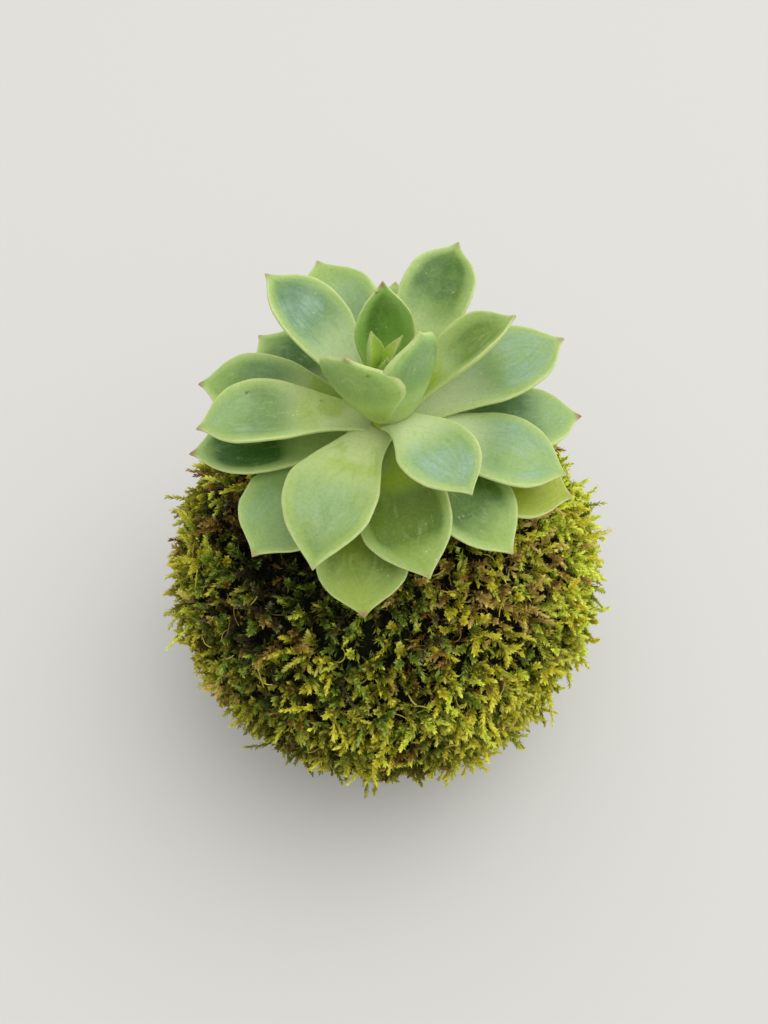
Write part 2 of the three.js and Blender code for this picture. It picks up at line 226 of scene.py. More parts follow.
class Shader:
    """A material in the making: nodes are added by type, and each input takes a value or a socket."""

    def __init__(self, name):
        self.material = bpy.data.materials.new(name)
        self.material.use_nodes = True
        self.tree = self.material.node_tree
        self.surface = self.tree.nodes["Principled BSDF"]
        self.colour = None

    def put(self, socket, value):
        if isinstance(value, bpy.types.NodeSocket):
            self.tree.links.new(value, socket)
        else:
            socket.default_value = value

    def node(self, kind, inputs=None, **settings):
        made = self.tree.nodes.new(kind)
        for key, value in settings.items():
            setattr(made, key, value)
        for key, value in (inputs or {}).items():
            self.put(made.inputs[key], value)
        return made

    def set(self, **inputs):
        for key, value in inputs.items():
            self.put(self.surface.inputs[key.replace("_", " ")], value)

    def math(self, operation, a, b=0.0):
        return self.node("ShaderNodeMath", {0: a, 1: b}, operation=operation).outputs[0]

    def times(self, *factors):
        """The product of two or more values."""
        product = factors[0]
        for factor in factors[1:]:
            product = self.math("MULTIPLY", product, factor)
        return product

    def apart(self, a, b):
        """How far apart two values are."""
        return self.math("ABSOLUTE", self.math("SUBTRACT", a, b))

    def mix(self, factor, a, b):
        return self.node("ShaderNodeMix", {0: factor, 6: a, 7: b}, data_type="RGBA").outputs[2]

    def paint(self, amount, display_colour):
        """Moves the colour so far by the amount towards a display colour."""
        self.colour = self.mix(amount, self.colour, linear(*display_colour))

    def between(self, value, low, high, out_low=0.0, out_high=1.0):
        """Goes smoothly from one output at the first value to the other at the second."""
        inputs = {"Value": value, "From Min": low, "From Max": high, "To Min": out_low, "To Max": out_high}
        made = self.node("ShaderNodeMapRange", inputs, interpolation_type="SMOOTHSTEP")
        return made.outputs[0]

    def noise(self, vector, scale, detail, roughness):
        """Noise between 0 and 1; the scale is its features a metre."""
        inputs = {"Vector": vector, "Scale": scale, "Detail": detail, "Roughness": roughness}
        return self.node("ShaderNodeTexNoise", inputs).outputs[0]

    def cells(self, vector, scale):
        """The distance from the middle of the nearest of many cells."""
        return self.node("ShaderNodeTexVoronoi", {"Vector": vector, "Scale": scale}).outputs["Distance"]

    def split(self, vector):
        return self.node("ShaderNodeSeparateXYZ", {0: vector}).outputs

    def join(self, x, y, z):
        return self.node("ShaderNodeCombineXYZ", {0: x, 1: y, 2: z}).outputs[0]

    def attribute(self, name):
        return self.node("ShaderNodeAttribute", attribute_name=name).outputs["Vector"]

    def position(self):
        return self.node("ShaderNodeTexCoord").outputs["Object"]

    def ramp(self, factor, stops):
        """A colour for the factor, from places between 0 and 1 and the display colour at each."""
        made = self.node("ShaderNodeValToRGB", {0: factor})
        elements = made.color_ramp.elements
        while len(elements) < len(stops):
            elements.new(0.5)
        for element, (place, display_colour) in zip(elements, stops):
            element.position = place
            element.color = linear(*display_colour)
        return made.outputs[0]

    def bump(self, height, strength, depth):
        """The normal that a height gives; the depth is in metres."""
        inputs = {"Height": height, "Strength": strength, "Distance": depth}
        return self.node("ShaderNodeBump", inputs).outputs[0]


# Leaves

ROOT_RADIUS = 3.0
BUD_ROOT_RADIUS = 0.7
EDGE_THICKNESS = 0.7
END_THICKNESS = 0.72
MIDDLE_THICKNESS = 0.28
LEAF_ROWS = 46
LEAF_SIDES = 32
BUD_ROWS = 28
BUD_SIDES = 20
ROW_CROWDING = 1.35
RIM_ROUNDNESS = 0.82
UPPER_SHARE = 0.35
LOWER_SHARE = 0.65
FIRST_LEAF_SEED = 100
FIRST_BUD_SEED = 200
# waves in the margin: share of the half width, and radians along the leaf
MARGIN_WAVES = [(0.012, 9), (0.008, 21)]
# waves in the blade: mm, radians along the leaf, and radians across half of it
BLADE_WAVES = [(0.10, 5, 1.5), (0.07, 11, -2.6)]
# how far the two faces of a leaf, side by side on its map, lie from the map's sides
MAP_SIDE = 0.02

# share of the leaf's length, then of its half width: round shoulders, or tapered from the middle
OUTLINE_S = [0, 0.12, 0.25, 0.40, 0.54, 0.66, 0.77, 0.865, 0.92, 0.96, 1]
OUTLINE_ROUND = [0.42, 0.45, 0.54, 0.74, 0.94, 1.0, 0.94, 0.68, 0.37, 0.15, 0]
OUTLINE_TAPERED = [0.42, 0.47, 0.60, 0.83, 1.0, 0.95, 0.74, 0.44, 0.25, 0.12, 0]

# name: azimuth, height of the root, pitch at the root and at the tip, length, width, thickness, cup, roll
# and turn in degrees and mm, then taper and skew as shares
LEAVES = {
    "leaf_01": (48, 112.5, 4, -4, 29, 16, 2.8, 1.5, 0, 0, 0.3, 0),
    "leaf_02": (112, 112.5, 4, -4, 30, 16, 2.8, 1.5, 0, 0, 0.3, 0),
    "leaf_03": (254, 111.8, 2, -31, 37, 20.4, 2.8, 1.5, 0, 19, 0.1, -0.02),
    "leaf_04": (-19, 111, 2, -12, 40, 21, 2.8, 1.5, 0, 6, 0.3, 0),
    "leaf_05": (214.5, 113.6, -2, -6, 36.1, 20.8, 2.8, 1.5, 0, 24.5, -0.1, -0.03),
    "leaf_06": (138, 114.4, 10, -2, 38, 17, 2.8, 2, 0, 0, 0.3, 0),
    "leaf_07": (186.7, 114.4, 6, -6, 40.4, 17.5, 2.8, 2, 0, 0, 0.4, 0),
    "leaf_08": (8.2, 115, 7, -9, 41.3, 16.8, 2.8, 1.5, 0, -2.5, 0, -0.12),
    "leaf_09": (-46.5, 115.2, 8, -24, 35.8, 18.4, 2.8, 1.5, 0, 0, 0.5, 0.08),
    "leaf_10": (87, 115.6, 12, 4, 38.5, 17, 2.8, 2, 0, 0, 0.3, 0),
    "leaf_11": (-80, 116.6, 10, -29, 33, 19.6, 2.8, 1.5, 14, 5, 0.75, -0.06),
    "leaf_12": (164.5, 117.5, 21, -7, 39.4, 17, 2.8, 2, 0, 9.5, 0, 0),
    "leaf_13": (23.5, 118, 20, 6, 40.4, 18.4, 2.8, 2, 0, 0, 0.3, -0.05),
    "leaf_14": (-14.6, 118.4, 10, -18, 37.2, 18, 2.8, 1.5, 0, -5, 0.33, -0.06),
    "leaf_15": (115, 119.5, 34, 14, 36.8, 18, 2.8, 2.5, 0, 0, 0.15, 0),
    "leaf_16": (185, 119.5, 25, -10, 37.6, 16.3, 2.8, 3, 0, 7, 0.1, 0.04),
    "leaf_17": (242, 119.8, 18.5, -20.5, 35.9, 19.3, 2.8, 1.5, 0, 13, 0.8, -0.14),
    "leaf_18": (67, 121.2, 33, 20, 38.8, 15.8, 2.8, 2.5, 0, -3, 0, -0.05),
    "leaf_19": (-52, 122.6, 40, -22, 27, 16.4, 2.8, 1.5, 0, -6, 0.45, -0.13),
    "leaf_20": (20, 121.6, 41, 27, 31, 12.4, 2.8, 4, -8, 0, 0.2, -0.1),
    "leaf_21": (140.5, 122.2, 50, 18, 35.8, 15, 2.8, 2.5, 0, 0, 0.35, 0),
    "leaf_22": (-42, 122.6, 64, 106, 26.6, 16, 2.4, 3, -6, 0, 0.2, 0),
    "leaf_23": (240, 123.7, 60, 96, 21.9, 19.5, 2.4, 3, 12, 0, 0.1, 0),
    "leaf_24": (95, 122.4, 64, 89, 28.5, 12, 2.4, 3.4, 0, 0, 0.2, 0),
}
# name: bluish bloom, yellowing, dark green and blush of the point, each from 0 to 1 (a dark green over 1
# also reaches the root), then the shares of the length where the dark green and the bloom lie. The dark
# green is partly the leaf's own colour and partly painted shade where a leaf above overlaps it; over 1 it
# is painted shade that reaches the root.
LEAF_COLOURINGS_AND_SHADE = {
    "leaf_01": (0.2, 0.2, 0.5, 0.5, 0.55, 0.70),
    "leaf_02": (0.2, 0.2, 0.5, 0.5, 0.55, 0.70),
    "leaf_03": (0.1, 0.6, 1.25, 0.8, 0.60, 0.85),
    "leaf_04": (0.0, 1.0, 0.25, 0.3, 0.50, 0.70),
    "leaf_05": (0.45, 0.1, 0.4, 0.5, 0.50, 0.72),
    "leaf_06": (0.1, 0.1, 1.2, 0.5, 0.66, 0.90),
    "leaf_07": (0.0, 0.0, 1.9, 0.9, 0.68, 0.80),
    "leaf_08": (0.5, 0.15, 1.4, 1.0, 0.52, 0.74),
    "leaf_09": (0.05, 0.2, 1.4, 0.4, 0.58, 0.88),
    "leaf_10": (0.4, 0.1, 0.5, 0.6, 0.60, 0.75),
    "leaf_11": (0.0, 0.35, 1.6, 0.3, 0.57, 0.90),
    "leaf_12": (0.4, 0.1, 0.7, 0.8, 0.64, 0.50),
    "leaf_13": (1.0, 0.1, 0.62, 0.6, 0.40, 0.70),
    "leaf_14": (1.0, 0.05, 0.4, 0.3, 0.50, 0.72),
    "leaf_15": (0.5, 0.15, 0.5, 0.5, 0.50, 0.66),
    "leaf_16": (0.5, 0.15, 0.6, 0.6, 0.60, 0.80),
    "leaf_17": (0.5, 0.25, 0.4, 0.3, 0.84, 0.66),
    "leaf_18": (0.15, 0.15, 1.0, 0.5, 0.76, 0.55),
    "leaf_19": (1.0, 0.05, 0.25, 0.2, 0.86, 0.68),
    "leaf_20": (0.3, 0.2, 0.7, 0.4, 0.70, 0.45),
    "leaf_21": (1.0, 0.0, 0.85, 0.5, 0.74, 0.58),
    "leaf_22": (0.6, 0.1, 0.8, 0.1, 0.75, 0.75),
    "leaf_23": (0.15, 0.3, 0.45, 0.5, 0.72, 0.60),
    "leaf_24": (0.0, 0.0, 0.65, 0.8, 0.74, 0.50),
}
LEAF_SLOTS = {"leaf_22": "leaf_inner", "leaf_23": "leaf_inner", "leaf_24": "leaf_inner"}
LEAF_SLOTS["leaf_04"] = "leaf_yellow"
BUD_LEAVES = [
    (152, 123.9, 72, 94, 21.5, 5.6, 1.4, 1.6, 0, 0, 0.8, 0),
    (12, 123.9, 100, 68, 21.5, 4.8, 1.4, 1.4, 0, 0, 0.8, 0),
    (272, 123.9, 82, 96, 17, 5, 1.4, 1.2, 0, 0, 0.8, 0),
    (210, 123.9, 82, 98, 13, 4.5, 1.4, 1.2, 0, 0, 0.8, 0),
    (335, 123.9, 84, 98, 12, 4, 1.4, 1.2, 0, 0, 0.8, 0),
]
BUD_FINISH = (0.0, 0.1, 0.0, 0.2, 0.6, 0.6)
# the wavy dent in one leaf's margin: side of the leaf, share of the length, share of the half width lost
MARGIN_NOTCH = {"leaf_05": (-1, 0.55, 0.12)}


def leaf_rows(count):
    """Shares of the length, closer together towards the pointed end."""
    return 1 - (1 - np.linspace(0, 1, count)) ** ROW_CROWDING


def leaf_width(s, t, width, taper, skew, phase, notch):
    """The share of the width at each place, and half the width in mm, wavy, skewed and notched."""
    rounded = monotone(OUTLINE_S, OUTLINE_ROUND, s)
    tapered = monotone(OUTLINE_S, OUTLINE_TAPERED, s)
    share = np.clip((1 - taper) * rounded + taper * tapered, 0, None)
    wave = sum(size * np.sin(rate * s + start) for (size, rate), start in zip(MARGIN_WAVES, phase))
    half = share * width / 2 * (1 + skew * t + wave * np.sign(t))
    if notch:
        side, place, depth = notch
        dip = np.exp(-(((s - place) / 0.045) ** 2))
        shoulder = np.exp(-(((s - place - 0.1) / 0.05) ** 2))
        dent = dip - 0.35 * shoulder
        half = half * (1 - depth * dent * (t * side > 0) * np.abs(t) ** 2)
    return share, half


def leaf_surface(spec, seed, root_radius, rows, sides, notch):
    """Points of a leaf in mm, a ring of them for each row, with the place on the leaf of each."""
    azimuth, root_z, pitch0, pitch1, length, width, thickness, cup, roll, turn, taper, skew = spec
    phase = np.random.default_rng(seed).uniform(0, 2 * math.pi, 4)
    s, angle = rings(leaf_rows(rows), sides)
    t = np.sign(np.cos(angle)) * np.abs(np.cos(angle)) ** RIM_ROUNDNESS
    up = np.sign(np.sin(angle)) * np.abs(np.sin(angle)) ** RIM_ROUNDNESS

    share, half = leaf_width(s, t, width, taper, skew, phase[:2], notch)
    across = half * t
    body = thickness * (END_THICKNESS + MIDDLE_THICKNESS * np.sin(math.pi * s))
    body = body * np.sqrt(np.clip((1.02 - s) / 0.25, 0, 1))
    full = np.where(up > 0, UPPER_SHARE, LOWER_SHARE) * body
    full = np.maximum(full, np.minimum(EDGE_THICKNESS / 2, half * 0.8))
    waves = zip(BLADE_WAVES, phase[2:])
    ripple = sum(size * np.sin(rate * s + slant * t + start) for (size, rate, slant), start in waves)
    lift = cup * share**1.2 * t * t + ripple * np.sqrt(share)
    offset = lift + full * up

    # the blade bends from pitch to pitch and sways sideways, is rolled and is set round the stem
    p0, p1 = math.radians(pitch0), math.radians(pitch1)
    bend = p1 - p0
    p = p0 + bend * s
    along = length * (np.sin(p) - math.sin(p0)) / bend
    rise = -length * (np.cos(p) - math.cos(p0)) / bend
    sway = math.radians(turn) * s
    drift = length * sway * s / 2
    x = along - np.cos(p) * np.sin(sway) * across - np.sin(p) * offset
    y0 = drift + np.cos(sway) * across
    z0 = rise - np.sin(p) * np.sin(sway) * across + np.cos(p) * offset
    r, a = math.radians(roll), math.radians(azimuth)
    y = y0 * math.cos(r) - z0 * math.sin(r)
    z = y0 * math.sin(r) + z0 * math.cos(r)
    x = x + root_radius
    east = x * math.cos(a) - y * math.sin(a)
    north = x * math.sin(a) + y * math.cos(a)
    margin = half * (1 - np.abs(t))
    return np.stack([east, north, z + root_z], -1), s, t, up, margin


def leaf_mesh_parts(spec, colouring_and_shade, seed, root_radius, rows, sides, notch=None):
    """Points, triangles, corner UVs and point values of one leaf, closed at its root and at its point."""
    points, s, t, up, margin = leaf_surface(spec, seed, root_radius, rows, sides, notch)
    rows -= 1
    root_point = rows * sides
    ends = [points[0].mean(0), points[-1].mean(0)]
    points = np.concatenate([points[:-1].reshape(-1, 3), ends])
    faces = closed_faces(rows, sides)

    # a triangle at the root or at the point takes its place across the map from its other corners
    flat_s = np.append(s[:-1].ravel(), [0, 1])
    flat_t = np.append(t[:-1].ravel(), [0, 0])
    corner_t = flat_t[faces]
    at_end = faces >= root_point
    others = np.where(at_end, 0, corner_t).sum(1, keepdims=True) / (~at_end).sum(1, keepdims=True)
    across = 0.23 * (np.where(at_end, others, corner_t) + 1)
    on_upper_face = np.tile(np.arange(sides), 2 * rows) < sides // 2
    u = np.where(on_upper_face[:, None], MAP_SIDE + across, 1 - MAP_SIDE - across)
    v = np.where(faces == root_point, 0.01, 0.03 + 0.95 * flat_s[faces])

    under = np.append(0.5 - 0.5 * up[:-1].ravel(), [0.5, 0.5])
    edge = np.append(margin[:-1].ravel(), [1.0, 0.0])
    place = np.stack([flat_s, under, edge], 1)
    return points, faces, np.stack([u, v], -1), place, np.tile(colouring_and_shade, (len(points), 1))


def add_leaf_object(name, parts, material, node):
    points, faces, uv, place, colouring_and_shade = parts
    obj = mesh_object(name, points, faces, uv)
    point_attribute(obj, "leafplace", place)
    point_attribute(obj, "leafcolouring_and_shade", colouring_and_shade[:, :3])
    point_attribute(obj, "leafzones", colouring_and_shade[:, 3:])
    obj.data.materials.append(material)
    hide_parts(node)
    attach(obj, "root")
    return obj


# display colours of the leaf skin
PATCH_GREEN = (116, 154, 62)
DARK_GREEN_AND_SHADE = (44, 98, 4)
WAX_BLUE = (146, 182, 166)
WAXY_ROOT_AND_LIGHT = (242, 252, 210)
CREASE_GLOW_GREEN = (156, 186, 40)
GLOW_GREEN = (186, 208, 138)
AGEING_YELLOW = (164, 176, 20)
UNDERSIDE_GREEN = (152, 184, 112)
RIM_GREEN_AND_GLOW = (208, 220, 148)
BLUSH_BROWN = (150, 88, 66)
STREAK_PALE_AND_HIGHLIGHT = (200, 220, 160)
STREAK_DARK = (92, 136, 62)
MOTTLE_PALE = (200, 216, 140)
MOTTLE_DARK = (84, 122, 52)
SCAR_DARK = (66, 84, 46)
SCUFF_PALE = (226, 234, 212)
# slot: name of the skin, green of the blade and colour of the root, partly the root's own pale colour and
# partly painted light against the shade in the rosette's heart
LEAF_SKINS = {
    "leaf": ("leaf_skin", (158, 190, 106), (236, 250, 188)),
    "leaf_inner": ("inner_leaf_skin", (164, 212, 100), (226, 244, 128)),
    "leaf_yellow": ("ageing_leaf_skin", (164, 178, 66), (182, 184, 60)),
    "bud": ("young_leaf_skin", (214, 244, 100), (236, 246, 100)),
}


def leaf_material(name, green, root_colour_and_light):
    """Waxy leaf skin: patches of green, a bluish bloom, a pale rim and a blushed point, with painted
    shade, glow and highlight in the colour.
    """
    sh = Shader(name)
    s, under, edge = sh.split(sh.attribute("leafplace"))
    bloom, yellow, dark = sh.split(sh.attribute("leafcolouring_and_shade"))
    blush, dark_place, bloom_place = sh.split(sh.attribute("leafzones"))
    where = sh.position()
    aside = sh.node("ShaderNodeVectorMath", {0: where, 1: (0.4, 0.9, 0.2)}, operation="ADD").outputs[0]
    broad = sh.noise(where, 70, 2, 0.5)
    other = sh.noise(aside, 90, 3, 0.55)
    cloud = sh.noise(where, 230, 4, 0.62)
    grain = sh.noise(where, 1500, 3, 0.65)
    # every leaf reads its streaks from another stretch of the noise
    own = sh.math("ADD", sh.times(dark_place, 31.0), sh.times(bloom_place, 17.0))
    streak = sh.noise(sh.join(sh.times(s, 6.0), edge, own), 1.0, 4, 0.62)

    # light green with deeper patches, the deepest across the blade at its own place: partly the leaf's own
    # dark green and partly painted shade where a leaf above overlaps it
    inner = sh.between(edge, 0.6, 3.4)
    patches = sh.times(sh.between(s, 0.3, 0.6), inner, sh.between(other, 0.34, 0.62, 0.1, 1.0))
    sh.colour = linear(*green)
    sh.paint(sh.times(patches, 0.48), PATCH_GREEN)
    zone = sh.between(sh.apart(s, dark_place), 0.30, 0.05)
    zone = sh.times(zone, sh.between(other, 0.25, 0.55, 0.55, 1.0))
    sh.paint(sh.times(zone, inner, dark), DARK_GREEN_AND_SHADE)

    # wax in the broad middle of the blade
    waxy = sh.between(sh.apart(s, bloom_place), 0.44, 0.0)
    waxy = sh.times(waxy, sh.between(broad, 0.34, 0.60, 0.3, 1.0))
    waxy = sh.times(waxy, sh.times(inner, bloom))
    waxy = sh.times(waxy, sh.between(cloud, 0.30, 0.66, 0.6, 1.0))
    waxy = sh.times(waxy, sh.between(streak, 0.34, 0.58, 0.62, 1.0))
    sh.paint(waxy, WAX_BLUE)

    # pale towards the root, partly the leaf's own paler root and partly painted light against the shade in
    # the rosette's heart, less where a leaf's painted shade reaches the root; patches of painted glow in
    # the creases near the root; paler near the margins as a painted glow of light through them; yellow
    # when ageing
    pale_root_and_light = sh.times(sh.between(s, 0.62, 0.22, 0.0, 0.85), sh.between(dark, 1.0, 1.5, 1.0, 0.15))
    root_colour_and_light = sh.mix(bloom, linear(*root_colour_and_light), linear(*WAXY_ROOT_AND_LIGHT))
    sh.colour = sh.mix(pale_root_and_light, sh.colour, root_colour_and_light)
    # painted glow: saturated yellow-green light shining through, and shade in, the creases near the root
    crease_glow = sh.times(sh.between(s, 0.50, 0.34), sh.between(s, 0.08, 0.22))
    crease_glow = sh.times(crease_glow, sh.between(other, 0.38, 0.58, 0.2, 0.9))
    crease_glow = sh.times(crease_glow, sh.between(bloom, 0.9, 0.3, 0.1, 1.0))
    sh.paint(crease_glow, CREASE_GLOW_GREEN)
    # painted glow of light shining through the thin margins
    sh.paint(sh.between(edge, 3.0, 0.4, 0.0, 0.34), GLOW_GREEN)
    sh.paint(sh.times(yellow, sh.between(broad, 0.25, 0.7, 0.95, 0.55)), AGEING_YELLOW)
    sh.paint(sh.times(under, 0.45), UNDERSIDE_GREEN)

    # pale rim, partly the margin's own pale colour and partly a painted glow of light through the edge;
    # blushed point
    rim_width = sh.between(cloud, 0.3, 0.7, 0.65, 1.1)
    sh.paint(sh.between(edge, rim_width, 0.15, 0.0, 0.7), RIM_GREEN_AND_GLOW)
    sh.paint(sh.times(blush, sh.between(s, 0.94, 0.99, 0.0, 0.9)), BLUSH_BROWN)

    # faint streaks along the blade, the pale ones partly wax and partly painted highlight; fine mottling
    pale_streaks_and_highlight = sh.between(streak, 0.52, 0.74, 0.0, 0.24)
    sh.paint(sh.times(pale_streaks_and_highlight, sh.between(cloud, 0.42, 0.60, 0.25, 1.0)), STREAK_PALE_AND_HIGHLIGHT)
    sh.paint(sh.between(streak, 0.46, 0.26, 0.0, 0.18), STREAK_DARK)
    sh.paint(sh.between(cloud, 0.52, 0.72, 0.0, 0.15), MOTTLE_PALE)
    sh.paint(sh.between(grain, 0.42, 0.68, 0.0, 0.08), MOTTLE_PALE)
    sh.paint(sh.between(grain, 0.56, 0.3, 0.0, 0.12), MOTTLE_DARK)

    # a few dark scars and pale scuffs
    ragged = sh.math("ADD", sh.cells(where, 190.0), sh.times(grain, 0.22))
    scar_zone = sh.between(sh.noise(where, 38, 2, 0.5), 0.53, 0.60)
    scar = sh.times(sh.between(ragged, 0.23, 0.11), scar_zone)
    sh.paint(sh.times(scar, 0.8), SCAR_DARK)
    scuff_zone = sh.between(sh.noise(where, 60, 2, 0.5), 0.54, 0.64)
    scuff_zone = sh.times(scuff_zone, sh.between(cloud, 0.46, 0.58))
    scuff = sh.times(sh.between(sh.cells(where, 800.0), 0.22, 0.08), scuff_zone)
    sh.paint(sh.times(scuff, 0.4), SCUFF_PALE)

    sh.set(
        Base_Color=sh.colour,
        Roughness=sh.between(cloud, 0.3, 0.7, 0.34, 0.52),
        Normal=sh.bump(sh.math("ADD", sh.times(grain, 0.4), cloud), 0.4, 0.0004),
        Specular_IOR_Level=0.42,
        Subsurface_Weight=0.22,
        Subsurface_Radius=(0.0010, 0.0016, 0.0005),
        Subsurface_Scale=1.0,
    )
    return sh.material


def build_leaves():
    materials = {slot: leaf_material(*skin) for slot, skin in LEAF_SKINS.items()}
    made = []
    for k, (name, spec) in enumerate(LEAVES.items()):
        slot = LEAF_SLOTS.get(name, "leaf")
        shape = (FIRST_LEAF_SEED + k, ROOT_RADIUS, LEAF_ROWS, LEAF_SIDES, MARGIN_NOTCH.get(name))
        parts = leaf_mesh_parts(spec, LEAF_COLOURINGS_AND_SHADE[name], *shape)
        made.append(add_leaf_object(f"{name}_fine", parts, materials[slot], name))
    bud = []
    for k, spec in enumerate(BUD_LEAVES):
        shape = (FIRST_BUD_SEED + k, BUD_ROOT_RADIUS, BUD_ROWS, BUD_SIDES)
        bud.append(leaf_mesh_parts(spec, BUD_FINISH, *shape))
    made.append(add_leaf_object("bud_fine", combine(bud), materials["bud"], "bud"))
    return made


# Stem and soil

STEM_FOOT_Z = 86.0
STEM_FULL_Z = 104
STEM_TOP_Z = 123.4
STEM_RADIUS = 3.5
STEM_FOOT_RADIUS = 2.6
STEM_ROWS = 90
STEM_SIDES = 40
STEM_RELIEF = [(0.10, 3.0, 31)]
# display colours, for a ramp each with its place
BARK = [(0.3, (96, 82, 48)), (0.5, (132, 122, 74)), (0.72, (158, 156, 98))]
YOUNG_BARK = (190, 206, 84)
SOIL = [(0.3, (30, 22, 15)), (0.55, (56, 42, 28)), (0.75, (84, 66, 44))]


def bark_material():
    sh = Shader("stem_bark")
    where = sh.position()
    cloud = sh.noise(where, 420, 4, 0.6)
    grain = sh.noise(where, 1800, 3, 0.6)
    height = sh.split(where)[2]
    sh.colour = sh.ramp(cloud, BARK)
    sh.paint(sh.between(height, 0.108, 0.116, 0.0, 0.85), YOUNG_BARK)
    sh.paint(sh.between(grain, 0.62, 0.36, 0.0, 0.22), (70, 56, 34))
    sh.set(Base_Color=sh.colour, Roughness=0.72, Specular_IOR_Level=0.3)
    sh.set(Normal=sh.bump(sh.math("ADD", cloud, grain), 0.5, 0.0004))
    return sh.material


def build_stem():
    """The short woody stem, with the ridges that fallen leaves left."""
    z, a = rings(np.linspace(STEM_FOOT_Z, STEM_TOP_Z, STEM_ROWS), STEM_SIDES)
    radius = STEM_FOOT_RADIUS + (STEM_RADIUS - STEM_FOOT_RADIUS) * smoothstep(STEM_FOOT_Z, STEM_FULL_Z, z)
    plain = np.stack([radius * np.cos(a), radius * np.sin(a), z], -1)
    ridges = np.sin(z * 2.6 + 3 * a + 0.8 * np.sin(2 * a))
    radius = radius + 0.10 * ridges - 0.12 + layered_wobble(plain, STEM_RELIEF)
    points = np.stack([radius * np.cos(a), radius * np.sin(a), z], -1).reshape(-1, 3)
    points = np.concatenate([points, [(0, 0, STEM_FOOT_Z), (0, 0, STEM_TOP_Z)]])
    obj = mesh_object("stem_fine", points, closed_faces(STEM_ROWS, STEM_SIDES))
    obj.data.materials.append(bark_material())
    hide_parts("stem")
    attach(obj, "root")


def soil_material():
    sh = Shader("dark_soil")
    where = sh.position()
    crumbs = sh.cells(where, 620.0)
    cloud = sh.noise(where, 260, 5, 0.65)
    sh.colour = sh.ramp(cloud, SOIL)
    sh.paint(sh.between(crumbs, 0.1, 0.5, 0.0, 0.5), (24, 18, 12))
    sh.set(Base_Color=sh.colour, Roughness=0.92, Specular_IOR_Level=0.2)
    sh.set(Normal=sh.bump(sh.math("SUBTRACT", cloud, crumbs), 0.8, 0.0012))
    return sh.material


# Moss

BALL_RADIUS = 60.0
BALL_HALF_HEIGHT = 55.0
BALL_CENTRE_Z = 52.0
STEM_GAP = 9.0
FOOT_CLEAR = 2.0
MOSS_PIECES = 5
SHOOT_SEED = 11
STRAND_SEED = 23
# layers of waves: height and wavelength in mm, and seed; then single waves
TUFT_RELIEF = [(0.65, 9.0, 5), (0.35, 22.0, 6)]
MAT_RELIEF = [(0.5, 7.0, 21), (0.35, 3.2, 22)]
KIND_WAVE = (11.0, 7)
DRAPE_WAVE = (17.0, 8)
# the mat, near black partly as painted shade between the tufts: how deep it lies under the ball's outer
# face, and its lip round the stem
MAT_DEPTH = 4.6
MAT_ROWS = 80
MAT_COLUMNS = 160
# tufts of shoots; a pair is the least and the most of a random value
TUFT_COUNT = 1430
TUFT_RISE = 0.95
TUFT_RADIUS = 2.2
SHOOTS_A_TUFT = 6
SHOOT_LENGTH = 5.4
LENGTH_SPREAD = (0.75, 1.15)
LENGTH_BY_RELIEF = 0.24
MIDDLE_LENGTH = 1.06
RIM_SHORTER = 0.2
LONGEST = 1.3
ROOT_SINK = 0.3
RIM_SINK = 0.7
# how a shoot stands: outward from the ball, out from its tuft's middle, and hanging
STAND_UP = 0.8
LEAN_OUT = 0.8
DRAPE = 0.24
DRAPE_CHANGE = 0.36
HEADING_SPREAD = 0.34
# how it bends: out from the middle, down, any way, and back to the ball
BEND_OUT = 0.5
BEND_DOWN = 0.10
BEND_DOWN_SPREAD = 0.40
BEND_SPREAD = 0.85
BEND_IN = 0.34
BOW = 0.42
# brightness of tufts and shoots, partly painted light and shade: raised tufts and tuft middles lighter,
# sunken tufts and tuft rims darker; the rest differs at random
LIGHT_BY_RELIEF = 0.65
TUFT_TONES = (0.42, 1.42)
MIDDLE_LIGHT = 1.30
RIM_SHADE = 0.38
SHOOT_TONES = (0.8, 1.15)
TONE_LIMITS = (0.26, 1.4)
# the share of shoots that are of their tuft's kind, and how far a leaflet reaches to either side on the
# colour map
KIND_LOYALTY = 0.86
KIND_WIDTH = 0.008
# short shoots under the tufts
UNDER_SHOOTS = 3600
UNDER_LENGTH = 4.2
UNDER_LEAFLETS = 8
# leaflets: mm, shares of the shoot, radians
LEAFLETS = 38
LEAFLET_LENGTH = 1.4
LEAFLET_WIDTH = 0.68
FIRST_LEAFLET = 0.26
GOLDEN_ANGLE = 2.39996
WIDEST_AT = 0.6
FOLD_DEPTH = 0.45
DARKEST = 0.02
# stalks: two rings of three points and one point at the tip
STALK_SIDES = (-1, 0, 1, -1, 0, 1, 0)
STALK_FACES = [(0, 1, 4), (0, 4, 3), (1, 2, 5), (1, 5, 4), (2, 0, 3)]
STALK_FACES += [(2, 3, 5), (3, 4, 6), (4, 5, 6), (5, 3, 6), (0, 2, 1)]
# points under the first height are raised, the lowest of all to about the second
LOW_POINTS = 1.0
FLOOR_GAP = 0.15
# shoots near a leaf or the stem are shortened or left out
SHORTEN_AT = (1.0, 0.75, 0.5)
SHORTEN_GAP = 1.5
SHORTEN_TO = 0.62
LEAVE_OUT_GAP = 1.3
LEAVE_OUT_AT = (0.6, 1.0)
# dry strands
STRAND_COUNT = 620
STRAND_JOINTS = 9
STRAND_RADIUS = 0.17
STRAND_KINDS = ("straw", "straw", "brown", "brown", "gold")
# display colours of the mat's ramp, each with its place: near black, partly the moss's own dark base and
# partly painted shade between the tufts
MAT_AND_SHADE = [(0.3, (7, 7, 5)), (0.45, (14, 13, 8)), (0.6, (18, 22, 10)), (0.75, (32, 34, 14))]

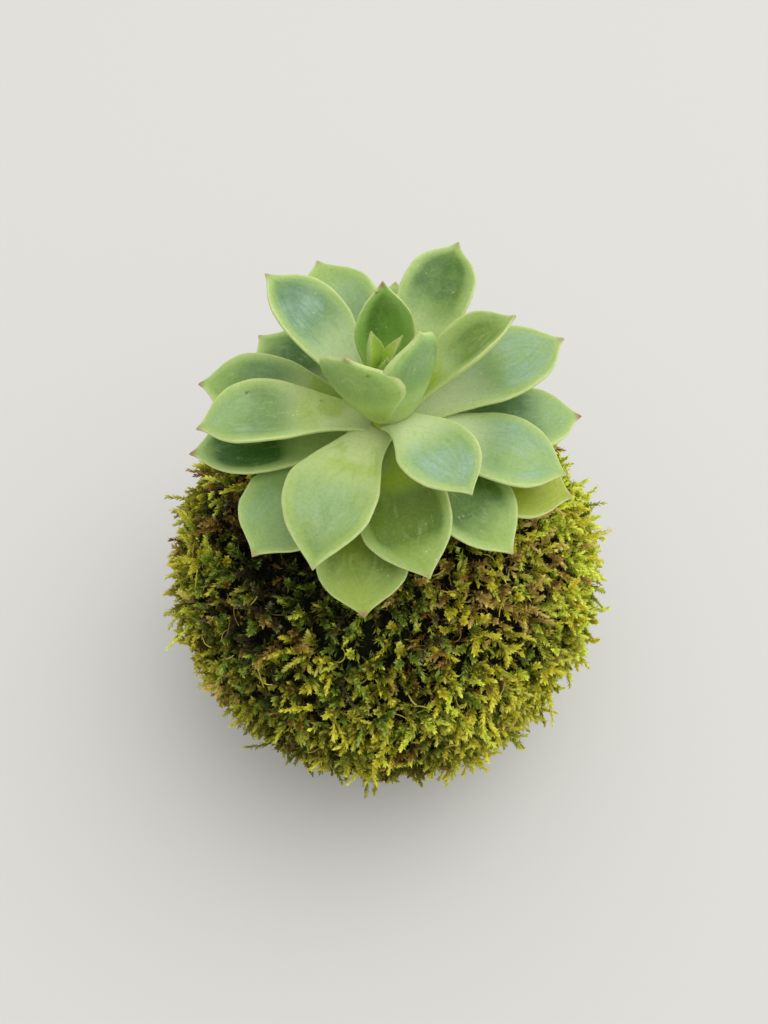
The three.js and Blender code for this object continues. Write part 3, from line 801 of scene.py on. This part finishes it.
# places on the moss's colour map, and for each the colour of a shoot's tip and of its root
PALETTE = {
    "black": (0.04, (84, 78, 46), (16, 16, 11)),
    "brown": (0.18, (166, 130, 52), (44, 33, 14)),
    "straw": (0.32, (228, 202, 108), (84, 66, 26)),
    "olive": (0.48, (194, 194, 60), (34, 38, 14)),
    "gold": (0.63, (236, 229, 66), (58, 59, 14)),
    "lime": (0.79, (238, 248, 90), (60, 76, 17)),
    "green": (0.95, (158, 182, 64), (21, 33, 12)),
}
# azimuth and elevation on the ball, how bright the tufts there are, and the odds of the palette's
# entries: black, brown, straw, olive, gold, lime and green. The brightness is partly painted light and
# shade:
# darker under the rosette, and lighter low on the ball and where leaves shade the moss, against that
# shade;
# the black under the rosette is partly painted shade too.
ZONES = [
    (196, 54, 0.45, (5, 3, 0, 0, 0, 0, 1)),
    (218, 52, 0.5, (5, 2, 0, 0, 0, 0, 3)),
    (236, 50, 0.55, (2, 2, 0, 0, 0, 0, 4)),
    (222, 30, 0.8, (0, 2, 0, 4, 3, 0, 3)),
    (194, 28, 0.95, (0, 0, 0, 3, 5, 3, 0)),
    (252, 46, 0.7, (1, 0, 0, 3, 0, 0, 6)),
    (270, 46, 0.85, (0, 1, 0, 3, 1, 0, 5)),
    (290, 54, 1.1, (1, 2, 0, 4, 1, 0, 3)),
    (314, 56, 1.9, (0, 3, 6, 3, 5, 0, 0)),
    (326, 44, 1.8, (0, 2, 6, 0, 6, 3, 0)),
    (350, 40, 1.2, (0, 0, 1, 0, 4, 6, 0)),
    (12, 32, 1.2, (0, 0, 0, 0, 3, 7, 0)),
    (336, 24, 1.15, (0, 0, 0, 1, 3, 6, 0)),
    (318, 8, 1.1, (0, 0, 1, 2, 4, 4, 0)),
    (294, 38, 1.15, (0, 1, 1, 3, 4, 0, 2)),
    (284, 28, 0.95, (0, 0, 0, 3, 4, 3, 0)),
    (250, 30, 0.95, (0, 0, 0, 4, 1, 2, 3)),
    (268, 16, 0.74, (0, 1, 0, 4, 4, 2, 0)),
    (240, 12, 0.72, (0, 1, 1, 4, 5, 0, 0)),
    (293, 6, 0.95, (0, 0, 0, 2, 5, 3, 0)),
    (270, -12, 0.62, (0, 1, 0, 5, 4, 0, 0)),
    (200, -8, 0.8, (0, 1, 0, 4, 4, 0, 0)),
    (340, -8, 0.85, (0, 0, 0, 4, 4, 2, 0)),
    (60, 30, 1.0, (0, 0, 0, 2, 4, 4, 0)),
    (100, 45, 0.75, (0, 1, 0, 4, 2, 0, 4)),
    (120, 20, 0.95, (0, 0, 0, 3, 4, 3, 0)),
    (162, 38, 0.85, (0, 1, 0, 4, 4, 2, 0)),
    (80, -10, 0.85, (0, 0, 0, 5, 4, 0, 0)),
    (140, -10, 0.8, (0, 1, 0, 5, 3, 0, 0)),
    (30, 62, 0.6, (0, 3, 0, 3, 0, 0, 3)),
    (130, 66, 0.55, (2, 3, 0, 0, 0, 0, 3)),
    (250, 72, 0.5, (4, 4, 0, 0, 0, 0, 1)),
]
ZONE_SHARPNESS = 26.0


def ball_point(direction, depth):
    """A point under the ball's outer face, from a direction on the unit sphere; and the normal there."""
    axes = np.array([BALL_RADIUS, BALL_RADIUS, BALL_HALF_HEIGHT])
    outer = direction * axes
    normal = unit(direction / axes)
    point = outer - normal * np.asarray(depth)[..., None]
    return point + np.array([0, 0, BALL_CENTRE_Z]), normal


def sphere_directions(count, jitter, rng):
    """Even directions all round, each moved at random by a share of their spacing."""
    k = np.arange(count) + 0.5
    z = 1 - 2 * k / count
    a = k * math.pi * (3 - math.sqrt(5))
    r = np.sqrt(1 - z * z)
    even = np.stack([r * np.cos(a), r * np.sin(a), z], 1)
    return unit(even + rng.normal(size=even.shape) * jitter * math.sqrt(4 * math.pi / count))


def zone_mixture(directions):
    """For each direction, the odds of each palette entry and the tufts' brightness."""
    azimuth, elevation = np.radians(np.array([zone[:2] for zone in ZONES], float)).T
    level = np.cos(elevation)
    centre = np.stack([level * np.cos(azimuth), level * np.sin(azimuth), np.sin(elevation)], 1)
    odds = np.array([zone[3] for zone in ZONES], float)
    odds /= odds.sum(1, keepdims=True)
    bright = np.array([zone[2] for zone in ZONES])
    weight = np.exp(ZONE_SHARPNESS * (directions @ centre.T - 1))
    weight /= weight.sum(1, keepdims=True)
    return weight @ odds, weight @ bright


def draw_kinds(odds, rng):
    """A palette entry for each row of odds."""
    cumulative = np.cumsum(odds / odds.sum(1, keepdims=True), 1)
    return (rng.random(len(odds))[:, None] > cumulative).sum(1)


def kind_places(kinds, rng):
    """Places on the colour map, each a little beside the place of its palette entry."""
    places = np.array([place for place, _, _ in PALETTE.values()])
    beside = rng.normal(size=len(kinds)) * 0.014
    return np.clip(places[np.clip(kinds, 0, len(places) - 1)] + beside, 0.025, 0.975)


def clear_of_stem(points, gap_mm):
    """Which of the points (mm) are below the ball's centre or that far from its axis."""
    return ~((points[:, 2] > BALL_CENTRE_Z) & (np.hypot(points[:, 0], points[:, 1]) < gap_mm))


def clear_of(trees, points, gap_mm):
    """Which of the points (mm) keep that far from the pieces in trees."""
    free = np.ones(len(points), bool)
    for k, p in enumerate(points):
        free[k] = all(tree.find_nearest(Vector(p * MM), gap_mm * MM)[0] is None for tree in trees)
    return free


def grow_shoots(rng):
    """Where each shoot stands, how it bends, how long it is, and its place on the colour map."""
    centres = sphere_directions(TUFT_COUNT, 0.14, rng)
    even, _ = ball_point(centres, np.full(len(centres), MAT_DEPTH))
    relief = layered_wobble(even, TUFT_RELIEF)
    middle, normal = ball_point(centres, MAT_DEPTH - TUFT_RISE * relief)
    keep = clear_of_stem(middle, STEM_GAP) & (middle[:, 2] > FOOT_CLEAR)
    centres, middle, normal, relief = centres[keep], middle[keep], normal[keep], relief[keep]
    odds, bright = zone_mixture(centres)
    dark_to_fresh = np.linspace(-1, 1, len(PALETTE))
    odds = odds * np.exp(wobble(middle, *KIND_WAVE)[:, None] * dark_to_fresh[None])
    kind = draw_kinds(odds, rng)
    vigour = rng.uniform(0.68, 1.22, len(centres))

    # each tuft is a small dome of shoots that lean out from its middle and hang a little
    owner = np.repeat(np.arange(len(centres)), SHOOTS_A_TUFT)
    count = len(owner)
    n = normal[owner]
    side = unit(np.cross(n, np.array([0.0, 0.0, 1.0]) + 0.001))
    fall = np.cross(side, n)
    fall = fall * np.sign(-fall[:, 2:3] + 1e-9)
    turn = rng.uniform(0, 2 * math.pi, count)
    reach = np.sqrt(rng.random(count))
    out = np.cos(turn)[:, None] * side + np.sin(turn)[:, None] * fall
    drape = DRAPE + DRAPE_CHANGE * wobble(middle, *DRAPE_WAVE)[owner]
    root = middle[owner] + out * (TUFT_RADIUS * reach * vigour[owner])[:, None]
    direction = unit(root - np.array([0, 0, BALL_CENTRE_Z]))
    root = root - n * (ROOT_SINK + RIM_SINK * reach * rng.random(count))[:, None]
    heading = STAND_UP * n + out * (LEAN_OUT * reach)[:, None] + fall * drape[:, None]
    heading = unit(heading + rng.normal(size=(count, 3)) * HEADING_SPREAD)
    down = BEND_DOWN + BEND_DOWN_SPREAD * rng.random(count)
    bend = out * (BEND_OUT * reach)[:, None] + fall * down[:, None]
    bend = bend + rng.normal(size=(count, 3)) * BEND_SPREAD - n * BEND_IN
    length = SHOOT_LENGTH * vigour[owner] * (1 + LENGTH_BY_RELIEF * relief[owner])
    length = length * (MIDDLE_LENGTH - RIM_SHORTER * reach)
    length = np.minimum(length * rng.uniform(*LENGTH_SPREAD, count), LONGEST * SHOOT_LENGTH)

    stray = rng.random(count) > KIND_LOYALTY
    u = kind_places(np.where(stray, draw_kinds(odds[owner], rng), kind[owner]), rng)
    # painted light and shade: raised tufts and tuft middles lighter, sunken tufts and tuft rims darker
    tone = bright * (1 + LIGHT_BY_RELIEF * relief) * rng.uniform(*TUFT_TONES, len(centres))
    tone = tone[owner] * (MIDDLE_LIGHT - RIM_SHADE * reach) * rng.uniform(*SHOOT_TONES, count)
    return root, heading, bend, length, u, np.clip(tone, *TONE_LIMITS), direction


def grow_under_shoots(rng):
    """Short shoots that lie flat on the mat and show between the tufts, dark partly from their own colour
    and partly as painted shade.
    """
    centres = sphere_directions(UNDER_SHOOTS, 0.5, rng)
    root, n = ball_point(centres, MAT_DEPTH - rng.uniform(-0.1, 0.9, len(centres)))
    keep = clear_of_stem(root, STEM_GAP) & (root[:, 2] > FOOT_CLEAR)
    centres, root, n = centres[keep], root[keep], n[keep]
    count = len(root)
    odds, bright = zone_mixture(centres)
    u = kind_places(draw_kinds(odds, rng), rng)
    flat = rng.normal(size=(count, 3))
    flat = unit(flat - n * (flat * n).sum(1, keepdims=True))
    heading = unit(flat + n * rng.uniform(0.05, 0.45, (count, 1)))
    bend = rng.normal(size=(count, 3)) * 0.4 - n * 0.15
    length = UNDER_LENGTH * rng.uniform(0.7, 1.2, count)
    # dark, partly as painted shade between the tufts, and with the zones' painted light and shade
    tone = bright * rng.uniform(0.4, 0.95, count)
    return root, heading, bend, length, u, tone, centres


def shoot_paths(root, heading, bend, length, shares):
    """Points and directions along every shoot at the given shares of its length."""
    f = np.array(shares)[None, :, None]
    reach = length[:, None, None]
    path = root[:, None] + reach * (heading[:, None] * f + bend[:, None] * BOW * f * f)
    along = unit(heading[:, None] + bend[:, None] * (2 * BOW) * f)
    return path, along


def perpendicular(v):
    """Two directions at right angles to each of the given ones and to each other."""
    steep = np.abs(v[..., 2:3]) >= 0.9
    helper = np.where(steep, np.array([1.0, 0.0, 0.0]), np.array([0.0, 0.0, 1.0]))
    a = unit(np.cross(v, helper))
    return a, np.cross(v, a)


def tube_rings(path, along, radii):
    """Three points round each point of every path."""
    a, b = perpendicular(along)
    angles = (np.arange(3) * 2 * math.pi / 3)[:, None]
    around = np.cos(angles) * a[:, :, None] + np.sin(angles) * b[:, :, None]
    return path[:, :, None] + np.asarray(radii)[..., None, None] * around


def leaflet_mesh(root, heading, bend, length, u, tone, leaflets, scale, rng):
    """The small folded leaflets that crowd every shoot: points, triangles and a UV for each point."""
    count = len(root)
    spread = 1 - FIRST_LEAFLET
    shares = FIRST_LEAFLET + spread * (np.arange(leaflets) / (leaflets - 1)) ** 0.85
    path, along = shoot_paths(root, heading, bend, length, shares)
    a, b = perpendicular(along)
    spin = (np.arange(leaflets) * GOLDEN_ANGLE)[None] + rng.uniform(0, 2 * math.pi, (count, 1))
    spin = spin + rng.normal(size=(count, leaflets)) * 0.35
    ray = np.cos(spin)[..., None] * a + np.sin(spin)[..., None] * b
    flank = -np.sin(spin)[..., None] * a + np.cos(spin)[..., None] * b
    closing = ((shares - FIRST_LEAFLET) / spread) ** 3
    opening = np.radians(46 - 20 * closing)[None]
    opening = opening + rng.normal(size=(count, leaflets)) * 0.2
    blade = np.cos(opening)[..., None] * along + np.sin(opening)[..., None] * ray
    back = np.cross(flank, blade)
    arch = np.sin(np.pi * np.clip((shares - 0.12) / 1.04, 0, 1))
    size = (0.66 + 0.46 * arch)[None] * rng.uniform(0.75, 1.2, (count, leaflets))
    size = size * (0.7 + 0.3 * length / SHOOT_LENGTH)[:, None]
    reach = (LEAFLET_LENGTH * scale * size)[..., None]
    half = (LEAFLET_WIDTH / 2 * scale * size)[..., None]
    mid = path + blade * reach * WIDEST_AT - back * half * FOLD_DEPTH
    curl = along * reach * rng.uniform(-0.08, 0.28, (count, leaflets, 1))
    corners = np.stack([path, mid - flank * half, mid + flank * half, path + blade * reach + curl], 2)
    faces = repeat_faces([(0, 2, 3), (0, 3, 1)], count * leaflets, 4)

    # darker towards each shoot's root, partly the moss's own darker older parts and partly painted shade
    # deep in the tufts; the tone brings in the tufts' painted light and shade
    low = np.clip(DARKEST + 0.64 * shares[None] ** 1.5 * tone[:, None], DARKEST, 0.75)
    low = low * rng.uniform(0.6, 1.15, (count, leaflets))
    rise = 0.56 * tone[:, None] * (0.45 + 0.55 * shares[None])
    high = np.clip(low + rise, 0.06, 0.97)
    kind = np.repeat(u[:, None], leaflets, 1)
    middle = (low + high) / 2
    corner_uv = [(kind, low), (kind - KIND_WIDTH, middle), (kind + KIND_WIDTH, middle), (kind, high)]
    uv = np.stack([np.stack(pair, -1) for pair in corner_uv], 2)
    return corners.reshape(-1, 3), faces, uv.reshape(-1, 2)


def stalk_mesh(root, heading, bend, length, u, tone):
    """The thin three-sided stalk of every shoot: points, triangles and a UV for each point."""
    count = len(root)
    ring = tube_rings(*shoot_paths(root, heading, bend, length, (0.0, 0.55)), (0.30, 0.20))
    tip, _ = shoot_paths(root, heading, bend, length, [1.0])
    points = np.concatenate([ring.reshape(count, -1, 3), tip], 1).reshape(-1, 3)
    faces = repeat_faces(STALK_FACES, count, len(STALK_SIDES))
    across = u[:, None] + np.array(STALK_SIDES)[None] * KIND_WIDTH
    # the stalk likewise darker at the root, partly painted shade
    up = np.clip(np.array((0.02, 0.03, 0.02, 0.3, 0.33, 0.3, 0.6))[None] * tone[:, None], DARKEST, 0.95)
    return points, faces, np.stack([across, up], -1).reshape(-1, 2)


def above_floor(points):
    """The points, of which those near the floor are raised a little over it."""
    z = points[:, 2]
    raised = FLOOR_GAP + (LOW_POINTS - FLOOR_GAP) * np.exp(z - LOW_POINTS)
    points[:, 2] = np.where(z < LOW_POINTS, raised, z)
    return points


def moss_material():
    """Colour from the moss's own map: across it the kind of shoot, up it from the root to the tip, dark to
    light, which carries painted light and shade as well; the brightest tips get a painted highlight.
    """
    sh = Shader("moss_shoots")
    layer = sh.node("ShaderNodeUVMap", uv_map="OFBake").outputs[0]
    kind, tone, _ = sh.split(layer)
    tips = sh.ramp(kind, [(place, tip) for place, tip, _ in PALETTE.values()])
    roots = sh.ramp(kind, [(place, root) for place, _, root in PALETTE.values()])
    sh.colour = sh.mix(sh.between(tone, 0.02, 0.85), roots, tips)
    # painted highlight on the brightest tips
    sh.paint(sh.between(tone, 0.72, 1.0, 0.0, 0.35), (232, 232, 150))
    sh.set(Base_Color=sh.colour, Roughness=0.62, Specular_IOR_Level=0.28)
    return sh.material


def mat_and_shade_material():
    sh = Shader("moss_mat")
    where = sh.position()
    cloud = sh.noise(where, 120, 5, 0.65)
    fine = sh.noise(where, 900, 4, 0.7)
    sh.colour = sh.ramp(cloud, MAT_AND_SHADE)
    sh.paint(sh.between(fine, 0.4, 0.7, 0.0, 0.4), (58, 58, 25))
    sh.set(Base_Color=sh.colour, Roughness=0.9, Specular_IOR_Level=0.2)
    sh.set(Normal=sh.bump(fine, 0.9, 0.002))
    return sh.material


def build_mat():
    """The matted layer under the shoots, open at the top round the stem; its near-black colour is partly
    the moss's own dark base and partly painted shade between the tufts.
    """
    top = math.acos(STEM_GAP / BALL_RADIUS)
    e, a = rings(np.linspace(-math.pi / 2, top, MAT_ROWS), MAT_COLUMNS)
    direction = np.stack([np.cos(e) * np.cos(a), np.cos(e) * np.sin(a), np.sin(e)], -1)
    direction[0] = np.array([0, 0, -1.0])
    even, normal = ball_point(direction, np.full(e.shape, MAT_DEPTH + 0.2))
    outer = even + normal * layered_wobble(even, MAT_RELIEF)[..., None]
    outer[..., 2] = np.maximum(outer[..., 2], 0.0)
    lip, _ = ball_point(direction[-1], np.full(MAT_COLUMNS, MAT_DEPTH + 2.2))
    points = np.concatenate([outer.reshape(-1, 3), lip])
    obj = mesh_object("moss_mat", points, grid_faces(MAT_ROWS + 1, MAT_COLUMNS))
    obj.data.materials.append(mat_and_shade_material())
    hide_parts("moss_cover")
    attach(obj, "root")


def sector_of(direction):
    """Which of the moss's pieces, side by side round the ball, a direction falls in."""
    around = np.arctan2(direction[:, 1], direction[:, 0])
    return np.floor((around + math.pi) / (2 * math.pi) * MOSS_PIECES).astype(int) % MOSS_PIECES


def build_shoots(leaf_trees):
    """All the moss shoots, in sectors side by side; gives their material back for the strands."""
    rng = np.random.default_rng(SHOOT_SEED)
    root, heading, bend, length, u, tone, direction = grow_shoots(rng)
    for share in SHORTEN_AT:
        path, _ = shoot_paths(root, heading, bend, length, [share])
        near = ~clear_of(leaf_trees, path[:, 0], SHORTEN_GAP)
        length = np.where(near, length * SHORTEN_TO, length)
    path, _ = shoot_paths(root, heading, bend, length, LEAVE_OUT_AT)
    free = clear_of_stem(path[:, -1], STEM_RADIUS + 2.2)
    for k in range(len(LEAVE_OUT_AT)):
        free &= clear_of(leaf_trees, path[:, k], LEAVE_OUT_GAP)
    tufts = [x[free] for x in (root, heading, bend, length, u, tone, direction)]
    under = grow_under_shoots(rng)
    material = moss_material()
    for k in range(MOSS_PIECES):
        here = [x[sector_of(tufts[6]) == k] for x in tufts[:6]]
        below = [x[sector_of(under[6]) == k] for x in under[:6]]
        leaflets = leaflet_mesh(*here, LEAFLETS, 1.0, rng)
        under_leaflets = leaflet_mesh(*below, UNDER_LEAFLETS, 1.5, rng)
        points, faces, uv = combine([leaflets, stalk_mesh(*here), under_leaflets])
        obj = mesh_object(f"moss_shoots_{k + 1}", above_floor(points), faces, uv[faces], smooth=False)
        obj.data.materials.append(material)
        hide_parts("moss_cover")
        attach(obj, "root")
    return material


def strand_starts(rng):
    """Where the strands begin, mostly among dry moss, with the normal and the brightness there."""
    direction = sphere_directions(STRAND_COUNT * 2, 0.5, rng)
    odds, bright = zone_mixture(direction)
    straw, brown, black = [odds[:, list(PALETTE).index(name)] for name in ("straw", "brown", "black")]
    dry = straw + brown + 0.4 * black
    chosen = rng.random(len(direction)) < 0.15 + 1.3 * dry
    direction, bright = direction[chosen][:STRAND_COUNT], bright[chosen][:STRAND_COUNT]
    start, normal = ball_point(direction, rng.uniform(1.0, 3.0, len(direction)))
    keep = (start[:, 2] > 6) & clear_of_stem(start, STEM_GAP + 5)
    return start[keep], normal[keep], bright[keep]


def strand_paths(start, normal, f, rng):
    """Strands that curl on the ball's face and arch a little off it, a point for each share in f."""
    count = len(start)
    side = unit(np.cross(normal, rng.normal(size=(count, 3))))
    across = np.cross(normal, side)
    length = rng.uniform(2.5, 6.5, count)
    curl = rng.uniform(-3.4, 3.4, count)
    rise = rng.uniform(0.05, 0.38, count)
    angle = curl[:, None] * f[None]
    tightness = np.where(np.abs(curl) < 0.2, 0.2, curl)
    flat = np.stack([np.sin(angle), 1 - np.cos(angle)], -1) / tightness[:, None, None]
    arch = rise[:, None] * np.sin(np.pi * f[None] * 0.8)
    path = start[:, None] + length[:, None, None] * (
        flat[..., 0:1] * side[:, None]
        + flat[..., 1:2] * across[:, None]
        + arch[..., None] * normal[:, None] * 0.55
    )
    sag = (length[:, None] * f[None]) ** 2 / (2 * BALL_RADIUS)
    return path - sag[..., None] * normal[:, None]


def build_strands(material, leaf_trees):
    """Dry curled strands and stray stalks that lie in and stand off the moss."""
    rng = np.random.default_rng(STRAND_SEED)
    start, normal, bright = strand_starts(rng)
    f = np.linspace(0, 1, STRAND_JOINTS)
    path = strand_paths(start, normal, f, rng)
    free = path[..., 2].min(1) > 1.0
    for joint in (STRAND_JOINTS // 2, -1):
        free &= clear_of(leaf_trees, path[:, joint], 1.2)
    path, bright = path[free], bright[free]
    count = len(path)
    along = unit(np.gradient(path, axis=1))
    radii = (STRAND_RADIUS - 0.08 * f)[None] * rng.uniform(0.8, 1.4, (count, 1))
    points = tube_rings(path, along, radii).reshape(-1, 3)
    last = 3 * (STRAND_JOINTS - 1)
    caps = [(0, 2, 1), (last, last + 1, last + 2)]
    faces = repeat_faces([*grid_faces(STRAND_JOINTS, 3), *caps], count, STRAND_JOINTS * 3)

    kinds = rng.choice([PALETTE[kind][0] for kind in STRAND_KINDS], count)
    u = kinds + rng.normal(size=count) * 0.01
    tone = 0.35 + 0.5 * f[None] * rng.uniform(0.5, 1.2, (count, 1))
    # the zones' brightness, partly painted light and shade, carries over to the strands
    v = np.clip(tone, 0, 0.9) * np.clip(bright[:, None] + 0.25, 0.5, 1)
    beside = np.array([-0.006, 0.0, 0.006])
    above = np.array([0.0, 0.01, 0.0])
    across = u[:, None, None] + beside[None, None] + np.zeros((count, STRAND_JOINTS, 3))
    up = v[..., None] + above[None, None]
    uv = np.stack([across, up], -1).reshape(-1, 2)[faces]
    obj = mesh_object("moss_strands", points, faces, uv)
    obj.data.materials.append(material)
    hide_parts("moss_cover")
    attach(obj, "root")


# Floor

FLOOR_REACH = 12.0


def add_floor():
    corners = [(x * FLOOR_REACH, y * FLOOR_REACH, 0) for x, y in ((-1, -1), (1, -1), (1, 1), (-1, 1))]
    mesh = bpy.data.meshes.new("floor")
    mesh.from_pydata(corners, [], [(0, 1, 2, 3)])
    floor = add_object("floor", mesh)
    floor.location = (0, 0, -0.0002)
    sh = Shader("pale_floor")
    sh.set(Base_Color=linear(216, 215, 212), Roughness=0.7, Specular_IOR_Level=0.25)
    mesh.materials.append(sh.material)


# Putting it together

add_camera()
add_key_light()
add_room()
add_floor()
leaf_objects = build_leaves()
build_stem()
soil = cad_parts["soil_core"]
soil.data.materials.clear()
soil.data.materials.append(soil_material())
bpy.context.view_layer.update()
graph = bpy.context.evaluated_depsgraph_get()
trees = [BVHTree.FromObject(obj, graph) for obj in leaf_objects]
build_mat()
strand_material = build_shoots(trees)
build_strands(strand_material, trees)

bpy.context.view_layer.update()
